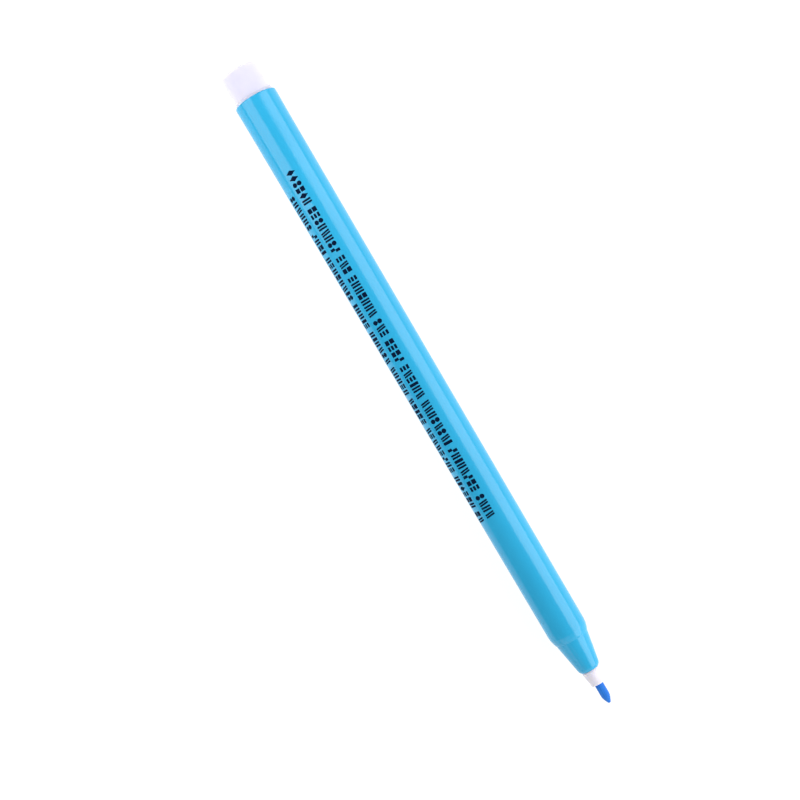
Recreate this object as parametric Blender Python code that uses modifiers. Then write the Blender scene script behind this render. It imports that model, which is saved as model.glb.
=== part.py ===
"""Fabric marking pen: a slim fibre-tip pen with its cap off.

The pen lies on its side along X, nib towards +X. The origin is midway along the pen, on the surface
that it lies on. Every piece is turned about the pen's axis, so each has one outline of
(radius, station) points, both in millimetres, where a station is the distance from the end plug's
rear face. An outline runs down its outer side from the nib end to the plug end, and back up inside.
A round face has TURN_STEPS narrow flat sides, and the pen lies on one of them.
"""
import math

import bpy

MM = 0.001

# The whole pen
LENGTH = 140.0
FIT_GAP = 0.1
TURN_STEPS = 32

# Barrel, outside
RIM_STATION = 6.32
RIM_RADIUS = 4.34
RIM_EDGE = 0.3
FLARE_END_STATION = 12.5
FLARE_END_RADIUS = 4.26
SHOULDER_STATION = 123.9
SHOULDER_RADIUS = 3.915
SHOULDER_ROUND = 2.0
SHOULDER_SLOPE = 20.0
CONE_STATION = 125.85
CONE_SLOPE = 10.2
BEAD_HEIGHT = 0.04
BEAD_HALF_WIDTH = 0.22
NOSE_ROUND_STATION = 131.8
NOSE_ROUND = 1.2

# Barrel, inside
PLUG_SEAT_RADIUS = 3.5
PLUG_SEAT_END = 15.0
BORE_REAR_RADIUS = 3.4
BORE_FRONT_RADIUS = 3.08
LEDGE_STATION = 114.6
CHAMBER_REAR_RADIUS = 2.65
CHAMBER_FRONT_RADIUS = 2.3
CHAMBER_END = 123.4
NOSE_BORE_RADIUS = 1.5
NOSE_BORE_START = 124.6
LEAD_IN = 0.3

# End plug
PLUG_RADIUS = 3.8
PLUG_EDGE = 0.35
PLUG_WALL = 1.0
PLUG_FLANGE_RADIUS = 3.98
PLUG_FLANGE_WIDTH = 0.45
PLUG_END = 14.6
PLUG_NECK_RADIUS = 3.2
PLUG_RIB_HEIGHT = 0.2
PLUG_RIB_WIDTH = 0.8
PLUG_RIB_STATIONS = (8.6, 11.8)

# Nib holder
HOLDER_BASE_RADIUS = 1.78
HOLDER_FRONT = 135.7
HOLDER_FRONT_RADIUS = 1.4
HOLDER_EDGE = 0.15
HOLDER_NECK_START = 125.2

# Nib
NIB_RADIUS = 0.87
NIB_START = 104.0
NIB_TIP_SLOPE = 25.0
NIB_TIP_ROUND = 0.36
NIB_OGIVE = 2.8
NIB_TAIL_CHAMFER = 0.25

# Ink reservoir and its film wrap
RESERVOIR_START = 15.2
RESERVOIR_END = 114.0
RESERVOIR_RADIUS = 2.7
NIB_HOLE_DEPTH = 10.6
WRAP_WALL = 0.12
WRAP_SET_BACK = 0.4

HALF_STEP = math.pi / TURN_STEPS
AXIS_HEIGHT = RIM_RADIUS * math.cos(HALF_STEP)

# Colours (linear), roughness
BARREL_BLUE = (0.07, 0.47, 0.83)
PLUG_WHITE = (0.88, 0.87, 0.93)
HOLDER_WHITE = (0.86, 0.84, 0.88)
NIB_BLUE = (0.02, 0.17, 0.72)
FIBRE_BLUE = (0.05, 0.22, 0.62)
FILM_CLEAR = (0.80, 0.84, 0.88)


def clear_scene():
    for item in list(bpy.data.objects):
        bpy.data.objects.remove(item, do_unlink=True)


def make_collection(name):
    collection = bpy.data.collections.new(name)
    bpy.context.scene.collection.children.link(collection)
    return collection


def plastic(name, colour, roughness):
    material = bpy.data.materials.new(name)
    material.use_nodes = True
    shader = material.node_tree.nodes["Principled BSDF"]
    shader.inputs["Base Color"].default_value = (*colour, 1.0)
    shader.inputs["Roughness"].default_value = roughness
    shader.inputs["Metallic"].default_value = 0.0
    material.diffuse_color = (*colour, 1.0)
    return material


def arc(centre, radius, start, stop, steps):
    """Points on an arc. Angles are in degrees, from straight out (0) towards the nib (90)."""
    angles = [math.radians(start + (stop - start) * i / steps) for i in range(steps + 1)]
    return [(centre[0] + radius * math.cos(a), centre[1] + radius * math.sin(a)) for a in angles]


def turned(name, outline, closed, material, collection, axis):
    """A piece turned about the pen's axis from its outline."""
    across = MM * math.cos(HALF_STEP)
    aside = MM * math.sin(HALF_STEP)
    points = [(radius * across, radius * aside, station * MM) for radius, station in outline]
    edges = [(i, i + 1) for i in range(len(points) - 1)]
    if closed:
        edges.append((len(points) - 1, 0))
    mesh = bpy.data.meshes.new(name)
    mesh.from_pydata(points, edges, [])
    piece = bpy.data.objects.new(name, mesh)
    collection.objects.link(piece)
    piece.parent = axis
    mesh.materials.append(material)
    screw = piece.modifiers.new("Turn", "SCREW")
    screw.axis = "Z"
    screw.steps = TURN_STEPS
    screw.render_steps = TURN_STEPS
    screw.use_merge_vertices = True
    screw.merge_threshold = 0.000001
    screw.use_smooth_shade = True
    return piece


def cone_radius(station):
    """The nose cone's radius at a station."""
    return shoulder_foot_radius() - (station - CONE_STATION) * math.tan(math.radians(CONE_SLOPE))


def shoulder_foot_radius():
    """Where the shoulder's straight slope meets the nose cone."""
    slope = math.radians(SHOULDER_SLOPE)
    round_drop = SHOULDER_ROUND * (1.0 - math.cos(slope))
    round_length = SHOULDER_ROUND * math.sin(slope)
    straight = CONE_STATION - SHOULDER_STATION - round_length
    return SHOULDER_RADIUS - round_drop - straight * math.tan(slope)


def nose_round_centre():
    slope = math.radians(CONE_SLOPE)
    radius = cone_radius(NOSE_ROUND_STATION) - NOSE_ROUND * math.cos(slope)
    return radius, NOSE_ROUND_STATION - NOSE_ROUND * math.sin(slope)


def nose_round_stop():
    """The angle at which the rounded nose has come in to the nib holder's base, in degrees."""
    reach = HOLDER_BASE_RADIUS - nose_round_centre()[0]
    return math.degrees(math.acos(reach / NOSE_ROUND))


def nose_face():
    """The station of the barrel's front face, which the nib holder sits on."""
    return nose_round_centre()[1] + NOSE_ROUND * math.sin(math.radians(nose_round_stop()))


def nose_bead():
    """A low ring where the shoulder meets the cone, which the cap's mouth closes on."""
    front = (cone_radius(CONE_STATION + BEAD_HALF_WIDTH), CONE_STATION + BEAD_HALF_WIDTH)
    rise = BEAD_HALF_WIDTH * math.tan(math.radians(SHOULDER_SLOPE))
    rear = (shoulder_foot_radius() + rise, CONE_STATION - BEAD_HALF_WIDTH)
    half_chord = math.dist(front, rear) / 2.0
    radius = (half_chord ** 2 + BEAD_HEIGHT ** 2) / (2.0 * BEAD_HEIGHT)
    tilt = math.degrees(math.atan2(rear[0] - front[0], front[1] - rear[1]))
    spread = math.degrees(math.asin(half_chord / radius))
    depth = radius - BEAD_HEIGHT
    middle = ((front[0] + rear[0]) / 2.0, CONE_STATION)
    lean = math.radians(tilt)
    centre = (middle[0] - depth * math.cos(lean), middle[1] - depth * math.sin(lean))
    return arc(centre, radius, tilt + spread, tilt - spread, 4)


def barrel_outline():
    nose = arc(nose_round_centre(), NOSE_ROUND, nose_round_stop(), CONE_SLOPE, 5)
    round_centre = (SHOULDER_RADIUS - SHOULDER_ROUND, SHOULDER_STATION)
    shoulder = arc(round_centre, SHOULDER_ROUND, SHOULDER_SLOPE, 0.0, 4)
    rim_centre = (RIM_RADIUS - RIM_EDGE, RIM_STATION + RIM_EDGE)
    rim = arc(rim_centre, RIM_EDGE, 0.0, -90.0, 3)
    inside = [
        (PLUG_SEAT_RADIUS + LEAD_IN, RIM_STATION),
        (PLUG_SEAT_RADIUS, RIM_STATION + LEAD_IN),
        (PLUG_SEAT_RADIUS, PLUG_SEAT_END),
        (BORE_REAR_RADIUS, PLUG_SEAT_END + LEAD_IN),
        (BORE_FRONT_RADIUS, LEDGE_STATION),
        (CHAMBER_REAR_RADIUS, LEDGE_STATION + LEAD_IN),
        (CHAMBER_FRONT_RADIUS, CHAMBER_END),
        (NOSE_BORE_RADIUS, NOSE_BORE_START),
        (NOSE_BORE_RADIUS, nose_face()),
    ]
    flare = [(FLARE_END_RADIUS, FLARE_END_STATION)]
    return nose + nose_bead() + shoulder + flare + rim + inside


def plug_rib(station):
    """A low ring round the plug's neck that grips the barrel's bore."""
    half = PLUG_RIB_WIDTH / 2.0
    ramp = half - PLUG_RIB_HEIGHT
    top = PLUG_NECK_RADIUS + PLUG_RIB_HEIGHT
    return [
        (PLUG_NECK_RADIUS, station + half),
        (top, station + ramp),
        (top, station - ramp),
        (PLUG_NECK_RADIUS, station - half),
    ]


def plug_outline():
    bore = PLUG_NECK_RADIUS - PLUG_WALL
    flange_front = RIM_STATION - FIT_GAP
    flange_rear = flange_front - PLUG_FLANGE_WIDTH
    edge_centre = (PLUG_RADIUS - PLUG_EDGE, PLUG_EDGE)
    inside = [
        (0.0, PLUG_WALL),
        (bore, PLUG_WALL),
        (bore, PLUG_END),
    ]
    neck = [
        (PLUG_NECK_RADIUS - LEAD_IN, PLUG_END),
        (PLUG_NECK_RADIUS, PLUG_END - LEAD_IN),
        *plug_rib(PLUG_RIB_STATIONS[1]),
        *plug_rib(PLUG_RIB_STATIONS[0]),
        (PLUG_NECK_RADIUS, flange_front),
    ]
    flange = [
        (PLUG_FLANGE_RADIUS, flange_front),
        (PLUG_FLANGE_RADIUS, flange_rear),
        (PLUG_RADIUS, flange_rear),
    ]
    end = arc(edge_centre, PLUG_EDGE, 0.0, -90.0, 4) + [(0.0, 0.0)]
    return inside + neck + flange + end


def holder_outline():
    bore = NIB_RADIUS + FIT_GAP
    neck = NOSE_BORE_RADIUS - FIT_GAP
    base = nose_face() + FIT_GAP
    edge_centre = (HOLDER_FRONT_RADIUS - HOLDER_EDGE, HOLDER_FRONT - HOLDER_EDGE)
    return [
        (bore, HOLDER_FRONT),
        *arc(edge_centre, HOLDER_EDGE, 90.0, 0.0, 3),
        (HOLDER_BASE_RADIUS, base),
        (neck, base),
        (neck, HOLDER_NECK_START + LEAD_IN),
        (neck - LEAD_IN, HOLDER_NECK_START),
        (bore, HOLDER_NECK_START),
    ]


def nib_outline():
    """A bullet nib: a round tip, a straight grind, then a curve that runs into the rod."""
    slope = math.radians(NIB_TIP_SLOPE)
    tip_centre = (0.0, LENGTH - NIB_TIP_ROUND)
    tip = arc(tip_centre, NIB_TIP_ROUND, 90.0, NIB_TIP_SLOPE, 4)
    grind_top = tip[-1]
    ogive_edge = NIB_RADIUS - NIB_OGIVE * (1.0 - math.cos(slope))
    ogive_top = grind_top[1] - (ogive_edge - grind_top[0]) / math.tan(slope)
    ogive_foot = ogive_top - NIB_OGIVE * math.sin(slope)
    ogive = arc((NIB_RADIUS - NIB_OGIVE, ogive_foot), NIB_OGIVE, NIB_TIP_SLOPE, 0.0, 5)
    tail = [
        (NIB_RADIUS, NIB_START + NIB_TAIL_CHAMFER),
        (NIB_RADIUS - NIB_TAIL_CHAMFER, NIB_START),
        (0.0, NIB_START),
    ]
    tip[0] = (0.0, LENGTH)
    return tip + ogive + tail


def reservoir_outline():
    hole = NIB_RADIUS + FIT_GAP
    hole_floor = RESERVOIR_END - NIB_HOLE_DEPTH
    return [
        (0.0, hole_floor),
        (hole, hole_floor),
        (hole, RESERVOIR_END),
        (RESERVOIR_RADIUS, RESERVOIR_END),
        (RESERVOIR_RADIUS, RESERVOIR_START),
        (0.0, RESERVOIR_START),
    ]


def wrap_outline():
    inner = RESERVOIR_RADIUS + FIT_GAP
    outer = inner + WRAP_WALL
    front = RESERVOIR_END - WRAP_SET_BACK
    rear = RESERVOIR_START + WRAP_SET_BACK
    return [
        (inner, front),
        (outer, front),
        (outer, rear),
        (inner, rear),
    ]


def build():
    clear_scene()
    pen = make_collection("fabric_marking_pen")
    axis = bpy.data.objects.new("pen_axis", None)
    pen.objects.link(axis)
    axis.location = (-LENGTH / 2.0 * MM, 0.0, AXIS_HEIGHT * MM)
    axis.rotation_euler = (0.0, math.radians(90.0), 0.0)

    barrel_blue = plastic("barrel_blue", BARREL_BLUE, 0.3)
    plug_white = plastic("plug_white", PLUG_WHITE, 0.4)
    holder_white = plastic("holder_white", HOLDER_WHITE, 0.4)
    nib_fibre = plastic("nib_fibre", NIB_BLUE, 0.8)
    inked_fibre = plastic("inked_fibre", FIBRE_BLUE, 0.95)
    clear_film = plastic("clear_film", FILM_CLEAR, 0.15)

    turned("barrel", barrel_outline(), True, barrel_blue, pen, axis)
    turned("end_plug", plug_outline(), False, plug_white, pen, axis)
    turned("nib_holder", holder_outline(), True, holder_white, pen, axis)
    turned("nib", nib_outline(), False, nib_fibre, pen, axis)
    turned("ink_reservoir", reservoir_outline(), False, inked_fibre, pen, axis)
    turned("reservoir_wrap", wrap_outline(), True, clear_film, pen, axis)


build()
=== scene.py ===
"""Looks of the fabric marking pen: fine turned surfaces, moulded plastics and greeked print.

The pen lies on its side along X, nib towards +X. Sizes of the pen are in millimetres. A station is the
distance along the pen from the end plug's rear face. Angles round the pen are in degrees from the top,
and positive towards -Y. point_on_pen() turns all three into metres in the frame.
"""

import math
import random

import bmesh
import bpy
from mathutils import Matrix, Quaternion, Vector, noise


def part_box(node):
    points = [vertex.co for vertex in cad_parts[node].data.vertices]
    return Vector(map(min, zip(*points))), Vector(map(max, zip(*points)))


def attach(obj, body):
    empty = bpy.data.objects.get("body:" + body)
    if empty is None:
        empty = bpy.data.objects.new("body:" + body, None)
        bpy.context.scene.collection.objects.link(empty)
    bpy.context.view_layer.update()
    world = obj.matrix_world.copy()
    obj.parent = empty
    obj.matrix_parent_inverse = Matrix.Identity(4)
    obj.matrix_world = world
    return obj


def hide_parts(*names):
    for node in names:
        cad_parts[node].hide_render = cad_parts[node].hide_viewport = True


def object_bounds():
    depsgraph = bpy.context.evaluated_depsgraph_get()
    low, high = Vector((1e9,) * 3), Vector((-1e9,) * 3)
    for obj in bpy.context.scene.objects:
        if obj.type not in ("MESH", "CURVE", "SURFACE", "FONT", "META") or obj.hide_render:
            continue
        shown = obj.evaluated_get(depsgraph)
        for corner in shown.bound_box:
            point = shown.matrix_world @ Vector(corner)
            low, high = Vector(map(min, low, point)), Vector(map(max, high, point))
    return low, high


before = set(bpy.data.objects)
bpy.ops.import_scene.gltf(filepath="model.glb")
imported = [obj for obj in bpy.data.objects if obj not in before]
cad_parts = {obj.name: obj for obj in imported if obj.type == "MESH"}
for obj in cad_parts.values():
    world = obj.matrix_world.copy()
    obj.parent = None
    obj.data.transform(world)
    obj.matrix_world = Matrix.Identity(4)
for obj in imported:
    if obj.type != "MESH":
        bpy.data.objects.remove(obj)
CAD_LOW, CAD_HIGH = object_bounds()

MM = 0.001
BODY = "root"

# The frame's places
REAR_X = CAD_LOW.x
AXIS_Z = (CAD_LOW.z + CAD_HIGH.z) / 2.0
LENGTH = (CAD_HIGH.x - CAD_LOW.x) / MM


def station_of(x):
    """The station of a place along the frame's X."""
    return (x - REAR_X) / MM


def widest(node):
    """A CAD node's largest radius."""
    low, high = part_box(node)
    return (high.z - low.z) / 2.0 / MM


LEAD_IN = 0.3       # length and depth of the inner chamfers
SEAM = 0.01         # gap left between faces that touch
SOFT_EDGE = 0.1     # the usual round of a small moulded edge

# Barrel, outside
RIM_STATION = station_of(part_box("barrel")[0].x)
RIM_RADIUS = widest("barrel")
RIM_BAND = 0.6
RIM_BLEND = 8.0
RIM_EDGE = 0.22
FLARE_STATION = 12.5
FLARE_RADIUS = 4.26
FLARE_ROUND = 60.0
SHOULDER_STATION = 124.253
SHOULDER_RADIUS = 3.915
SHOULDER_ROUND = 5.0
RING_RADIUS = 3.485
RING_REAR = 125.45
RING_FRONT = 125.62
RING_EDGE = 0.15
RING_FOOT = 0.35
CONE_STATION = 125.85
CONE_RADIUS = 3.333
CONE_SLOPE = 10.2
NOSE_STATION = station_of(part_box("barrel")[1].x)
NOSE_ROUND_STATION = 131.8
NOSE_ROUND = 1.2

# Barrel, inside
SEAT_RADIUS = 3.5
SEAT_END = 15.0
BORE_REAR = 3.4
BORE_FRONT = 3.08
LEDGE_STATION = 114.6
CHAMBER_REAR = 2.65
CHAMBER_FRONT = 2.3
CHAMBER_END = 123.4
NOSE_BORE = 1.5
NOSE_BORE_START = 124.6
NOSE_CHAMFER = 0.12

# End plug
PLUG_RADIUS = 3.8
PLUG_DRAFT = 0.02
PLUG_EDGE = 0.42
PLUG_TAIL = station_of(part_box("end_plug")[1].x)
PLUG_NECK = 3.2
PLUG_BORE = 2.2
PLUG_FLOOR = 1.0
RIB_FRONTS = (12.2, 9.0)
RIB_LENGTH = 0.8
RIB_HEIGHT = 0.2
FLANGE_RADIUS = 3.96
FLANGE_WIDTH = 0.45
GATE_RADIUS = 0.95
GATE_FLOOR = 0.8
GATE_DEPTH = 0.22
GATE_STUB = 0.34
GATE_STUB_DEPTH = 0.06

# Nib holder
HOLDER_RADIUS = 1.78
HOLDER_BAND = 0.55
HOLDER_FRONT_RADIUS = 1.39
HOLDER_FRONT = station_of(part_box("nib_holder")[1].x)
HOLDER_TAIL = station_of(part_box("nib_holder")[0].x)
HOLDER_NECK = 1.4
HOLDER_GAP = 0.025

# Nib
NIB_RADIUS = 0.87
NIB_TAIL = station_of(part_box("nib")[0].x)
NIB_CHAMFER = 0.25
TIP_SLOPE = 25.0
TIP_ROUND = 0.36
TIP_OGIVE = 2.8
TIP_CLEAR = 139.9
NIB_RINGS = 23
NIB_RING_STEP = 0.12
FIBRES_ACROSS = 14.0    # noise waves per radius
FIBRES_ALONG = 0.9      # noise waves per millimetre
FIBRE_DEPTH = 0.010
FINE_SCALE = 2.3
FINE_SHARE = 0.6
GRIND_STATION = 137.6
GRIND_FADE = 1.2
GRIND_RINGS = 22.0      # noise waves per millimetre
GRIND_DEPTH = 0.004
RELIEF = 1.6

# Print: each row is (first station, last station, angle at the first, angle at the last)
PRINT_ROWS = ((22.0, 99.5, 19.5, 23.5), (26.3, 99.0, 60.0, 64.0))
PRINT_SEED = 11
WORD_LENGTHS = (3, 4, 5, 6, 6, 7, 8)
WORD_GAP = 0.7
ROW_HEIGHT = 1.9
MARK_WIDTH = 0.94
MARK_PITCH = 1.24
NARROW_PITCH = 0.68
BAR_CUT = 0.06
BAR_STEP = 0.25
SPOT_STEPS = 10
SPOT_END = 84.0
LOZENGE_STEPS = 8
LOZENGE_TIP = 0.06
INK_HEIGHT = 0.012
INK_DEPTH = 0.03


def point_on_pen(station, radius, angle):
    """A place on the pen as a point in the frame."""
    turn = math.radians(angle)
    across = -radius * math.sin(turn) * MM
    up = radius * math.cos(turn) * MM
    return Vector((REAR_X + station * MM, across, AXIS_Z + up))


# Outlines: lists of (radius, station)

ROUND_STEP = math.radians(9)
SUPPORT = 0.1
LONGEST_RUN = 2.5


def rounded(corners):
    """An outline from corners, each (radius, station, round)."""
    points = []
    for i, (radius, station, size) in enumerate(corners):
        if not size:
            points.append((radius, station))
            continue
        here = Vector((radius, station))
        back = (Vector(corners[i - 1][:2]) - here).normalized()
        ahead = (Vector(corners[(i + 1) % len(corners)][:2]) - here).normalized()
        half = back.angle(ahead) / 2.0
        reach = size / math.tan(half)
        centre = here + (back + ahead).normalized() * (size / math.sin(half))
        start = here + back * reach - centre
        stop = here + ahead * reach - centre
        turn = math.atan2(start.x * stop.y - start.y * stop.x, start.dot(stop))
        steps = max(2, round(abs(turn) / ROUND_STEP))
        points += [swung(centre, start, turn * k / steps) for k in range(steps + 1)]
    return points


def swung(centre, spoke, turn):
    """The end of a spoke that has turned about a centre."""
    c = math.cos(turn)
    s = math.sin(turn)
    return (centre.x + spoke.x * c - spoke.y * s, centre.y + spoke.x * s + spoke.y * c)


def supported(outline, closed):
    """The outline with extra points on its straight runs, so that each run shades as straight."""
    points = []
    count = len(outline)
    for i in range(count):
        start = Vector(outline[i])
        points.append(outline[i])
        if i == count - 1 and not closed:
            break
        stop = Vector(outline[(i + 1) % count])
        run = (stop - start).length
        if run < 3.0 * SUPPORT:
            continue
        pieces = max(1, math.ceil((run - 2.0 * SUPPORT) / LONGEST_RUN))
        step = (run - 2.0 * SUPPORT) / pieces
        for k in range(pieces + 1):
            points.append(tuple(start.lerp(stop, (SUPPORT + step * k) / run)))
    return points


def cone_radius(station):
    """The nose cone's outer radius."""
    return CONE_RADIUS - (station - CONE_STATION) * math.tan(math.radians(CONE_SLOPE))


def body_radius(station):
    """The barrel's outer radius between its flare and its shoulder."""
    share = (station - FLARE_STATION) / (SHOULDER_STATION - FLARE_STATION)
    return FLARE_RADIUS + (SHOULDER_RADIUS - FLARE_RADIUS) * share


def arc(centre, radius, start, stop, steps):
    """Points on an arc. Angles are in degrees, from straight out (0) towards the nib (90)."""
    angles = [math.radians(start + (stop - start) * i / steps) for i in range(steps + 1)]
    return [(centre[0] + radius * math.cos(a), centre[1] + radius * math.sin(a)) for a in angles]


def barrel_outline():
    """From the nose's front edge over the cone, shoulder and rim, and back through the bore."""
    lean = math.radians(CONE_SLOPE)
    centre = (
        cone_radius(NOSE_ROUND_STATION) - NOSE_ROUND * math.cos(lean),
        NOSE_ROUND_STATION - NOSE_ROUND * math.sin(lean),
    )
    nose_turn = math.degrees(math.asin((NOSE_STATION - centre[1]) / NOSE_ROUND))
    nose = arc(centre, NOSE_ROUND, nose_turn, CONE_SLOPE, steps=12)
    rest = rounded([
        (*nose[-1], 0),
        (cone_radius(RING_FRONT), RING_FRONT, RING_FOOT),
        (RING_RADIUS, RING_REAR, RING_EDGE),
        (SHOULDER_RADIUS, SHOULDER_STATION, SHOULDER_ROUND),
        (FLARE_RADIUS, FLARE_STATION, FLARE_ROUND),
        (RIM_RADIUS, RIM_STATION + RIM_BAND, RIM_BLEND),
        (RIM_RADIUS, RIM_STATION, RIM_EDGE),
        (SEAT_RADIUS + LEAD_IN, RIM_STATION, 0.08),
        (SEAT_RADIUS, RIM_STATION + LEAD_IN, SOFT_EDGE),
        (SEAT_RADIUS, SEAT_END, 0),
        (BORE_REAR, SEAT_END + LEAD_IN, 0),
        (BORE_FRONT, LEDGE_STATION, 0),
        (CHAMBER_REAR, LEDGE_STATION + LEAD_IN, 0),
        (CHAMBER_FRONT, CHAMBER_END, 0),
        (NOSE_BORE, NOSE_BORE_START, 0),
        (NOSE_BORE, NOSE_STATION - NOSE_CHAMFER, 0),
        (NOSE_BORE + NOSE_CHAMFER, NOSE_STATION, 0),
    ])
    return nose[:-1] + rest


def rib(front):
    """A grip rib round the plug's neck, from its front edge back."""
    top = PLUG_NECK + RIB_HEIGHT
    rear = front - RIB_LENGTH
    return [
        (PLUG_NECK, front, 0),
        (top, front - RIB_HEIGHT, 0),
        (top, rear + RIB_HEIGHT, 0),
        (PLUG_NECK, rear, 0),
    ]


def plug_outline():
    """From the middle of the inner floor, out over the neck, flange and end, to the gate mark."""
    front = RIM_STATION - SEAM
    rear = front - FLANGE_WIDTH
    return rounded([
        (0.0, PLUG_FLOOR, 0),
        (PLUG_BORE, PLUG_FLOOR, 0.25),
        (PLUG_BORE, PLUG_TAIL, 0),
        (PLUG_NECK - LEAD_IN, PLUG_TAIL, 0.06),
        (PLUG_NECK, PLUG_TAIL - LEAD_IN, SOFT_EDGE),
        *rib(RIB_FRONTS[0]),
        *rib(RIB_FRONTS[1]),
        (PLUG_NECK, front, 0.05),
        (FLANGE_RADIUS, front, 0.08),
        (FLANGE_RADIUS, rear, 0.14),
        (PLUG_RADIUS, rear, SOFT_EDGE),
        (PLUG_RADIUS - PLUG_DRAFT, 0.0, PLUG_EDGE),
        (GATE_RADIUS, 0.0, SOFT_EDGE),
        (GATE_FLOOR, GATE_DEPTH, SOFT_EDGE),
        (GATE_STUB, GATE_DEPTH, 0.05),
        (GATE_STUB - 0.04, GATE_STUB_DEPTH, 0.08),
        (0.0, GATE_STUB_DEPTH, 0),
    ])


def holder_outline():
    """From the bore's front edge over the tapered collar and the neck, to the bore's tail end."""
    bore = NIB_RADIUS + HOLDER_GAP
    base = NOSE_STATION + SEAM
    return rounded([
        (bore, HOLDER_FRONT, 0.06),
        (HOLDER_FRONT_RADIUS, HOLDER_FRONT, 0.16),
        (HOLDER_RADIUS, NOSE_STATION + HOLDER_BAND, 0.6),
        (HOLDER_RADIUS, base, 0.04),
        (HOLDER_NECK, base, 0),
        (HOLDER_NECK, HOLDER_TAIL + LEAD_IN, 0),
        (HOLDER_NECK - LEAD_IN, HOLDER_TAIL, 0),
        (bore, HOLDER_TAIL, 0),
    ])


def nib_outline():
    """A bullet nib: a round tip, a straight grind, then a curve that runs into the rod."""
    tip = arc((0.0, LENGTH - TIP_ROUND), TIP_ROUND, 90.0, TIP_SLOPE, steps=8)
    slope = math.radians(TIP_SLOPE)
    edge = NIB_RADIUS - TIP_OGIVE * (1.0 - math.cos(slope))
    top = tip[-1][1] - (edge - tip[-1][0]) / math.tan(slope)
    foot = top - TIP_OGIVE * math.sin(slope)
    ogive = arc((NIB_RADIUS - TIP_OGIVE, foot), TIP_OGIVE, TIP_SLOPE, 0.0, steps=10)
    shown = [(NIB_RADIUS, foot - NIB_RING_STEP * k) for k in range(1, NIB_RINGS + 1)]
    tail = [
        (NIB_RADIUS, NIB_TAIL + NIB_CHAMFER),
        (NIB_RADIUS - NIB_CHAMFER, NIB_TAIL),
        (0.0, NIB_TAIL),
    ]
    return [(0.0, LENGTH)] + tip[1:] + ogive + shown + tail


# Solids

ON_AXIS = 1e-6


def smooth(radius, station, angle):
    """The surface of a piece that is evenly round."""
    return radius


def fibrous(radius, station, angle):
    """The nib's surface: fine fibres along it, and finer rings where its tip was ground."""
    if station >= TIP_CLEAR:
        return radius
    across = math.cos(math.radians(angle))
    up = math.sin(math.radians(angle))
    place = Vector((across * FIBRES_ACROSS, up * FIBRES_ACROSS, station * FIBRES_ALONG))
    fibres = noise.noise(place) + FINE_SHARE * noise.noise(place * FINE_SCALE)
    ground = min(1.0, max(0.0, (station - GRIND_STATION) / GRIND_FADE))
    rings = noise.noise(Vector((station * GRIND_RINGS, across, up)))
    depth = FIBRE_DEPTH * fibres - GRIND_DEPTH + GRIND_DEPTH * ground * rings
    return radius * (1.0 + min(0.0, depth) * RELIEF)


def turned(name, outline, closed, turns, surface=smooth):
    """A solid turned about the pen's axis. An open outline starts and ends on the axis."""
    solid = bmesh.new()
    rings = []
    angles = [360.0 * k / turns for k in range(turns)]
    for radius, station in supported(outline, closed):
        if radius < ON_AXIS:
            rings.append([solid.verts.new(point_on_pen(station, 0.0, 0.0))])
            continue
        rings.append([
            solid.verts.new(point_on_pen(station, surface(radius, station, a), a)) for a in angles
        ])
    pairs = list(zip(rings, rings[1:]))
    if closed:
        pairs.append((rings[-1], rings[0]))
    for here, there in pairs:
        for k in range(turns):
            corners = [here[k % len(here)], here[(k + 1) % len(here)]]
            corners += [there[(k + 1) % len(there)], there[k % len(there)]]
            solid.faces.new(list(dict.fromkeys(corners)))
    return finished(name, solid)


def finished(name, solid):
    """A bmesh as an object in the scene."""
    bmesh.ops.recalc_face_normals(solid, faces=solid.faces)
    mesh = bpy.data.meshes.new(name)
    solid.to_mesh(mesh)
    solid.free()
    mesh.shade_smooth()
    piece = bpy.data.objects.new(name, mesh)
    bpy.context.scene.collection.objects.link(piece)
    return piece


# Print: greeked rows, where each mark is a few shapes that spell nothing. A shape is a list of
# (height, left, right) slices across its mark, from the bottom up.

def bar(left, right, bottom, top, lean=0.0):
    """A straight bar with small cut corners, which leans towards the nib."""
    inner = top - bottom - 2.0 * BAR_CUT
    steps = max(1, math.ceil(inner / BAR_STEP))
    sides = [bottom + BAR_CUT + inner * k / steps for k in range(steps + 1)]
    slices = []
    for height in [bottom] + sides + [top]:
        slip = lean * (height - bottom) / (top - bottom)
        inset = BAR_CUT if height in (bottom, top) else 0.0
        slices.append((height, left + slip + inset, right + slip - inset))
    return slices


def spot(across, up, half_width, half_height):
    """An oval."""
    slices = []
    for k in range(SPOT_STEPS + 1):
        turn = math.radians(-SPOT_END + 2.0 * SPOT_END * k / SPOT_STEPS)
        half = half_width * math.cos(turn)
        slices.append((up + half_height * math.sin(turn), across - half, across + half))
    return slices


def lozenge(across, up, half_width, half_height):
    """A diamond with blunt ends."""
    slices = []
    for k in range(LOZENGE_STEPS + 1):
        share = -1.0 + 2.0 * k / LOZENGE_STEPS
        half = half_width * max(LOZENGE_TIP, 1.0 - abs(share))
        slices.append((up + half_height * share, across - half, across + half))
    return slices


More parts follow.
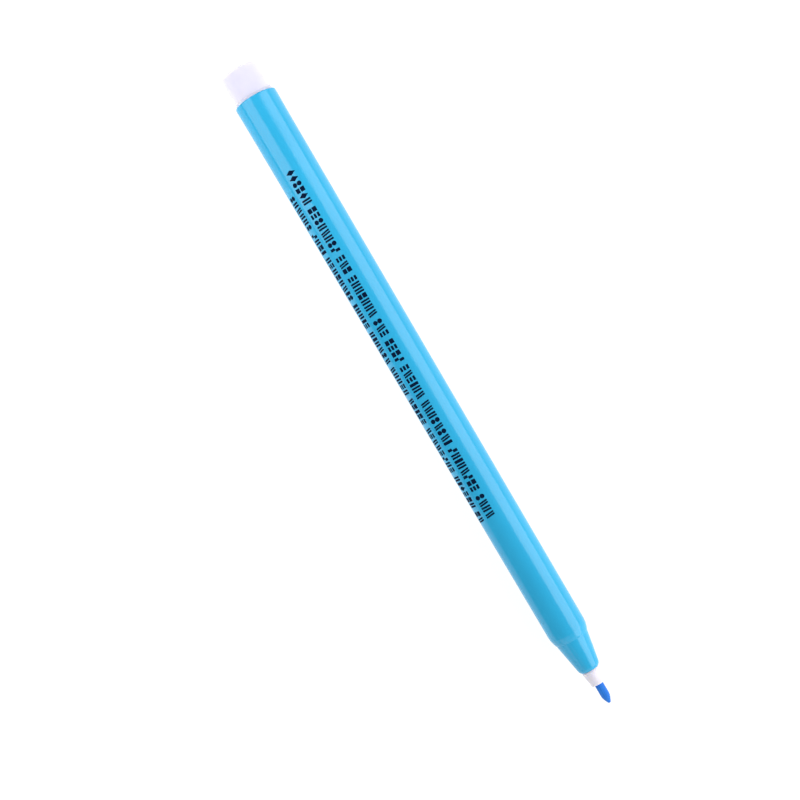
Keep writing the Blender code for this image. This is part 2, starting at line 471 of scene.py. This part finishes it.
MARKS = {
    "pair": [bar(0.0, 0.38, 0.0, ROW_HEIGHT), bar(0.56, MARK_WIDTH, 0.0, ROW_HEIGHT)],
    "slants": [bar(0.0, 0.34, 0.0, ROW_HEIGHT, 0.24), bar(0.47, 0.81, 0.0, ROW_HEIGHT, 0.24)],
    "blocks": [bar(0.0, MARK_WIDTH, 0.0, 0.88), bar(0.0, MARK_WIDTH, 1.04, ROW_HEIGHT)],
    "stack": [bar(0.0, 0.9, 0.0, 0.48), bar(0.0, 0.9, 0.71, 1.19), bar(0.0, 0.9, 1.42, ROW_HEIGHT)],
    "steps": [bar(0.0, 0.56, 0.98, ROW_HEIGHT), bar(0.38, MARK_WIDTH, 0.0, 0.92)],
    "spots": [spot(0.47, 0.46, 0.46, 0.47), spot(0.47, 1.44, 0.46, 0.47)],
    "lozenge": [lozenge(0.49, 0.95, 0.52, 0.97)],
    "slab": [bar(0.0, 0.6, 0.0, ROW_HEIGHT)],
}
MARK_CHANCES = (24, 20, 14, 12, 10, 10, 8, 8)


def row_marks(start, stop, draw):
    """(station, kind) of each mark in a row: word-like groups with a gap after each."""
    marks = []
    station = start
    while station < stop - MARK_PITCH:
        for _ in range(draw.choice(WORD_LENGTHS)):
            if station > stop - MARK_PITCH:
                break
            kind = draw.choices(list(MARKS), MARK_CHANCES)[0]
            marks.append((station, kind))
            station += MARK_PITCH * (NARROW_PITCH if kind == "slab" else 1.0)
        station += WORD_GAP
    return marks


def add_shape(solid, station, foot, slices):
    """A thin raised patch of ink on the barrel. foot is the angle of the mark's bottom edge."""
    rows = []
    for height, left, right in slices:
        angle = foot + math.degrees(height / body_radius(station))
        corners = ((left, -INK_DEPTH), (left, INK_HEIGHT), (right, INK_HEIGHT), (right, -INK_DEPTH))
        rows.append([
            solid.verts.new(point_on_pen(station + s, body_radius(station + s) + h, angle))
            for s, h in corners
        ])
    for here, there in zip(rows, rows[1:]):
        for k in range(4):
            solid.faces.new((here[k], here[(k + 1) % 4], there[(k + 1) % 4], there[k]))
    solid.faces.new(rows[0])
    solid.faces.new(rows[-1])


def printed_rows():
    """Both rows of marks, as one piece."""
    draw = random.Random(PRINT_SEED)
    solid = bmesh.new()
    for start, stop, rear_angle, front_angle in PRINT_ROWS:
        for station, kind in row_marks(start, stop, draw):
            share = (station - start) / (stop - start)
            middle = rear_angle + (front_angle - rear_angle) * share
            foot = middle - math.degrees(ROW_HEIGHT / 2.0 / body_radius(station))
            for slices in MARKS[kind]:
                add_shape(solid, station, foot, slices)
    piece = finished("printed_marks", solid)
    piece.data.shade_flat()
    return piece


# Materials: each pair of colours is the range that the material varies over.

PLASTIC_IOR = 1.49
BARREL_BLUE = (0.0266, 0.430, 0.743)
BARREL_BLUES = ((0.0256, 0.423, 0.735), (0.0276, 0.437, 0.751))
PLUG_WHITES = ((0.735, 0.720, 0.860), (0.755, 0.740, 0.880))
HOLDER_WHITES = ((0.86, 0.825, 0.98), (0.88, 0.845, 1.0))
NIB_BLUE = (0.025, 0.17, 0.68)
NIB_BLUES = ((0.012, 0.125, 0.60), (0.032, 0.275, 0.88))
INK_BLACK = (0.001, 0.011, 0.040)
INK_BLACKS = ((0.001, 0.009, 0.034), (0.002, 0.015, 0.052))
BUNDLE_BLUE = (0.05, 0.22, 0.62)
BUNDLE_BLUES = ((0.02, 0.12, 0.48), (0.10, 0.32, 0.74))
FILM_CLEAR = (0.80, 0.84, 0.88)
FLOOR_GREY = (0.2, 0.2, 0.2)
FLOOR_GREYS = ((0.197, 0.197, 0.199), (0.203, 0.203, 0.203))
WHITE = (1.0, 1.0, 1.0, 1.0)


def new_material(name, colour, roughness):
    """A material, its node tree and its shader. colour and roughness are its typical values, for
    viewers that don't read its nodes."""
    material = bpy.data.materials.new(name)
    material.use_nodes = True
    material.diffuse_color = (*colour, 1.0)
    shader = material.node_tree.nodes["Principled BSDF"]
    shader.inputs["Base Color"].default_value = (*colour, 1.0)
    shader.inputs["Roughness"].default_value = roughness
    shader.inputs["IOR"].default_value = PLASTIC_IOR
    return material, material.node_tree, shader


def grain(tree, frequency, detail=3.0, roughness=0.55):
    """Noise laid in the frame. frequency is its cycles per metre along (x, y, z)."""
    place = tree.nodes.new("ShaderNodeTexCoord")
    mapping = tree.nodes.new("ShaderNodeMapping")
    texture = tree.nodes.new("ShaderNodeTexNoise")
    mapping.inputs["Scale"].default_value = frequency
    texture.inputs["Scale"].default_value = 1.0
    texture.inputs["Detail"].default_value = detail
    texture.inputs["Roughness"].default_value = roughness
    tree.links.new(place.outputs["Object"], mapping.inputs["Vector"])
    tree.links.new(mapping.outputs["Vector"], texture.inputs["Vector"])
    return texture.outputs["Fac"]


def spread(tree, value, low, high, start=0.35, stop=0.65):
    """Maps a value between start and stop to low..high."""
    node = tree.nodes.new("ShaderNodeMapRange")
    node.inputs["From Min"].default_value = start
    node.inputs["From Max"].default_value = stop
    node.inputs["To Min"].default_value = low
    node.inputs["To Max"].default_value = high
    tree.links.new(value, node.inputs["Value"])
    return node.outputs["Result"]


def maths(tree, operation, first, second):
    """The result of an operation on two values, each a number or a socket."""
    node = tree.nodes.new("ShaderNodeMath")
    node.operation = operation
    for socket, value in zip(node.inputs, (first, second)):
        if isinstance(value, (int, float)):
            socket.default_value = value
        else:
            tree.links.new(value, socket)
    return node.outputs[0]


def tint(tree, shader, share, colours):
    """Gives a shader a colour between two, by a share from 0 to 1."""
    node = tree.nodes.new("ShaderNodeMix")
    node.data_type = "RGBA"
    node.inputs["A"].default_value = (*colours[0], 1.0)
    node.inputs["B"].default_value = (*colours[1], 1.0)
    tree.links.new(share, node.inputs["Factor"])
    tree.links.new(node.outputs["Result"], shader.inputs["Base Color"])


def bump(tree, shader, height, distance, strength=1.0):
    """Gives a shader relief. distance is in metres."""
    node = tree.nodes.new("ShaderNodeBump")
    node.inputs["Strength"].default_value = strength
    node.inputs["Distance"].default_value = distance
    tree.links.new(height, node.inputs["Height"])
    tree.links.new(node.outputs["Normal"], shader.inputs["Normal"])


def barrel_plastic():
    """Glossy sky-blue moulded plastic with faint flow marks, handling wear and hairlines."""
    material, tree, shader = new_material("barrel_plastic", BARREL_BLUE, 0.16)
    clouds = grain(tree, (60, 110, 110))
    tint(tree, shader, spread(tree, clouds, 0, 1), BARREL_BLUES)
    smudges = spread(tree, grain(tree, (180, 420, 420)), -0.02, 0.035)
    hairlines = spread(tree, grain(tree, (90, 5200, 5200), 2.0), 0.0, 0.03, 0.5, 0.75)
    roughness = maths(tree, "ADD", maths(tree, "ADD", smudges, 0.15), hairlines)
    tree.links.new(roughness, shader.inputs["Roughness"])
    ripple = maths(tree, "MULTIPLY", grain(tree, (500, 900, 900), 2.0), 0.7)
    skin = maths(tree, "MULTIPLY", grain(tree, (6000, 6000, 6000), 1.0), 0.3)
    bump(tree, shader, maths(tree, "ADD", ripple, skin), 0.000004)
    return material


def white_plastic(name, whites, roughness, gloss, depth):
    """Milky moulded plastic that light gets into, to a depth in metres."""
    material, tree, shader = new_material(name, whites[1], roughness)
    clouds = spread(tree, grain(tree, (220, 260, 260)), 0, 1)
    tint(tree, shader, clouds, whites)
    shader.inputs["Subsurface Weight"].default_value = 1.0
    shader.inputs["Subsurface Radius"].default_value = (1.0, 0.95, 0.8)
    shader.inputs["Subsurface Scale"].default_value = depth
    shader.inputs["Specular IOR Level"].default_value = gloss
    satin = spread(tree, grain(tree, (900, 1400, 1400)), roughness - 0.04, roughness + 0.05)
    tree.links.new(satin, shader.inputs["Roughness"])
    bump(tree, shader, grain(tree, (2600, 2600, 2600), 2.0), 0.000006)
    return material


def nib_fibre():
    """Blue inked fibre, with streaks along it."""
    material, tree, shader = new_material("nib_fibre", NIB_BLUE, 0.7)
    streaks = grain(tree, (420, 9000, 9000), 3.0, 0.65)
    tint(tree, shader, spread(tree, streaks, 0, 1, 0.3, 0.7), NIB_BLUES)
    tree.links.new(spread(tree, streaks, 0.55, 0.85), shader.inputs["Roughness"])
    shader.inputs["Specular IOR Level"].default_value = 0.2
    shader.inputs["Sheen Weight"].default_value = 0.15
    shader.inputs["Sheen Roughness"].default_value = 0.5
    bump(tree, shader, streaks, 0.00003, 0.7)
    return material


def print_ink():
    """Matt black screen-print ink, thinner in places."""
    material, tree, shader = new_material("print_ink", INK_BLACK, 0.6)
    cover = spread(tree, grain(tree, (3500, 3500, 3500), 4.0), 0, 1, 0.45, 0.75)
    tint(tree, shader, cover, INK_BLACKS)
    matt = spread(tree, grain(tree, (2000, 2000, 2000)), 0.55, 0.7)
    tree.links.new(matt, shader.inputs["Roughness"])
    shader.inputs["Specular IOR Level"].default_value = 0.04
    return material


def inked_bundle():
    """The reservoir's bundled fibre, soaked with ink."""
    material, tree, shader = new_material("inked_bundle", BUNDLE_BLUE, 0.9)
    strands = grain(tree, (25, 4200, 4200), 3.0, 0.6)
    tint(tree, shader, spread(tree, strands, 0, 1), BUNDLE_BLUES)
    tree.links.new(spread(tree, strands, 0.75, 0.98), shader.inputs["Roughness"])
    bump(tree, shader, strands, 0.00005, 0.8)
    return material


def film():
    """Thin clear film with fine creases."""
    material, tree, shader = new_material("clear_film", FILM_CLEAR, 0.15)
    creases = grain(tree, (140, 900, 900), 2.0)
    tree.links.new(spread(tree, creases, 0.08, 0.25), shader.inputs["Roughness"])
    shader.inputs["Transmission Weight"].default_value = 0.85
    bump(tree, shader, creases, 0.00002, 0.5)
    return material


def floor_material():
    """A white floor that glows like a lit backdrop, and takes next to no shadow."""
    material, tree, shader = new_material("floor_white", FLOOR_GREY, 0.9)
    fibres = spread(tree, grain(tree, (260, 260, 260), 4.0), 0, 1)
    tint(tree, shader, fibres, FLOOR_GREYS)
    shader.inputs["Specular IOR Level"].default_value = 0.1
    shader.inputs["Emission Color"].default_value = WHITE
    shader.inputs["Emission Strength"].default_value = 0.9
    return material


# The pen

def take(piece, material, slot, *nodes):
    """Gives a piece its material and its place in the frame."""
    piece.data.materials.append(material)
    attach(piece, BODY)
    if nodes:
        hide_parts(*nodes)


def make_pen():
    """The turned pieces, the print, and new materials for the two CAD nodes that stay."""
    plug_white = white_plastic("plug_white", PLUG_WHITES, roughness=0.52, gloss=0.05, depth=0.001)
    holder_white = white_plastic(
        "holder_white", HOLDER_WHITES, roughness=0.5, gloss=0.05, depth=0.0006
    )
    barrel = turned("barrel_shell", barrel_outline(), closed=True, turns=192)
    plug = turned("plug_moulding", plug_outline(), closed=False, turns=160)
    holder = turned("holder_moulding", holder_outline(), closed=True, turns=128)
    nib = turned("fibre_nib", nib_outline(), closed=False, turns=144, surface=fibrous)
    take(barrel, barrel_plastic(), "barrel", "barrel")
    take(plug, plug_white, "plug", "end_plug")
    take(holder, holder_white, "holder", "nib_holder")
    take(nib, nib_fibre(), "nib", "nib")
    take(printed_rows(), print_ink(), None)
    for node, material in (("ink_reservoir", inked_bundle()), ("reservoir_wrap", film())):
        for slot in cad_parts[node].material_slots:
            slot.material = material


# Surroundings: places and sizes in metres, but the camera's lens and sensor in millimetres

FLOOR_REACH = 6.0
REAR_AIM = (-0.05, 0.0, 0.0)
TIP_AIM = (0.06, 0.0, 0.0)
CAMERA_HEIGHT = 0.3
CAMERA_SHIFT = (-0.00015, -0.00527)
CAMERA_TURN = 59.56
CAMERA_NEAR = 0.01
LENS = 70.66
SENSOR = 36.0


def make_floor():
    """A flat sheet that the pen lies on."""
    sheet = bmesh.new()
    corners = ((-1, -1), (1, -1), (1, 1), (-1, 1))
    sheet.faces.new([
        sheet.verts.new((x * FLOOR_REACH, y * FLOOR_REACH, CAD_LOW.z)) for x, y in corners
    ])
    floor = finished("floor", sheet)
    floor.data.materials.append(floor_material())


def softbox(name, place, aim, width, height, radiance, roll=0.0):
    """A rectangular light that shows in reflections but not to the camera."""
    light = bpy.data.lights.new(name, "AREA")
    light.shape = "RECTANGLE"
    light.size = width
    light.size_y = height
    light.energy = radiance * math.pi * width * height
    lamp = bpy.data.objects.new(name, light)
    lamp.location = place
    facing = (Vector(aim) - Vector(place)).to_track_quat("-Z", "Y")
    lamp.rotation_euler = (facing @ Quaternion((0.0, 0.0, 1.0), math.radians(roll))).to_euler()
    lamp.visible_camera = False
    bpy.context.scene.collection.objects.link(lamp)


def side_softbox(name, low, high, rear, front, distance, radiance, roll=0.0):
    """A softbox along the pen. low and high are its edges' angles round the pen's axis."""
    edges = [point_on_pen(0.0, distance / MM, angle) for angle in (low, high)]
    middle = (rear + front) / 2.0
    place = (edges[0] + edges[1]) / 2.0
    place.x = middle
    width = (edges[1] - edges[0]).length
    softbox(name, place, (middle, 0.0, AXIS_Z), front - rear, width, radiance, roll)


def make_lights():
    """Two long softboxes that draw the highlights along the barrel, and three small ones."""
    side_softbox(
        "softbox_far", low=-82.0, high=-28.3, rear=-0.55, front=2.4, distance=1.9,
        radiance=2.7, roll=10.0,
    )
    side_softbox(
        "softbox_near", low=21.5, high=77.0, rear=-0.42, front=-0.054, distance=0.205,
        radiance=2.4,
    )
    softbox("softbox_rear", (-0.40, -0.20, 0.23), REAR_AIM, 0.15, 0.15, radiance=5.0)
    softbox("softbox_front", (0.45, -0.06, 0.22), TIP_AIM, 0.55, 0.36, radiance=0.75)
    softbox("softbox_low", (0.32, -0.30, 0.12), TIP_AIM, 0.28, 0.18, radiance=1.0)


def make_world():
    """A soft glow, twice as bright towards +Y. To the camera the world is white all round, so that
    the floor's far edge doesn't show."""
    world = bpy.data.worlds.new("studio")
    world.use_nodes = True
    tree = world.node_tree
    background = tree.nodes["Background"]
    background.inputs["Color"].default_value = WHITE
    place = tree.nodes.new("ShaderNodeTexCoord")
    axes = tree.nodes.new("ShaderNodeSeparateXYZ")
    tree.links.new(place.outputs["Generated"], axes.inputs["Vector"])
    glow = spread(tree, axes.outputs["Y"], low=0.20, high=0.40, start=0.0, stop=1.0)
    rays = tree.nodes.new("ShaderNodeLightPath")
    strength = maths(tree, "MAXIMUM", glow, rays.outputs["Is Camera Ray"])
    tree.links.new(strength, background.inputs["Strength"])
    bpy.context.scene.world = world


def make_camera():
    """A camera straight above the pen, turned as in the photograph."""
    data = bpy.data.cameras.new("camera")
    data.sensor_width = SENSOR
    data.lens = LENS
    data.clip_start = CAMERA_NEAR
    camera = bpy.data.objects.new("camera", data)
    middle = (CAD_LOW.x + CAD_HIGH.x) / 2.0
    camera.location = (middle + CAMERA_SHIFT[0], CAMERA_SHIFT[1], AXIS_Z + CAMERA_HEIGHT)
    camera.rotation_euler = (0.0, 0.0, math.radians(CAMERA_TURN))
    bpy.context.scene.collection.objects.link(camera)
    bpy.context.scene.camera = camera


make_pen()
make_floor()
make_lights()
make_world()
make_camera()
bpy.context.scene.view_settings.view_transform = "Standard"
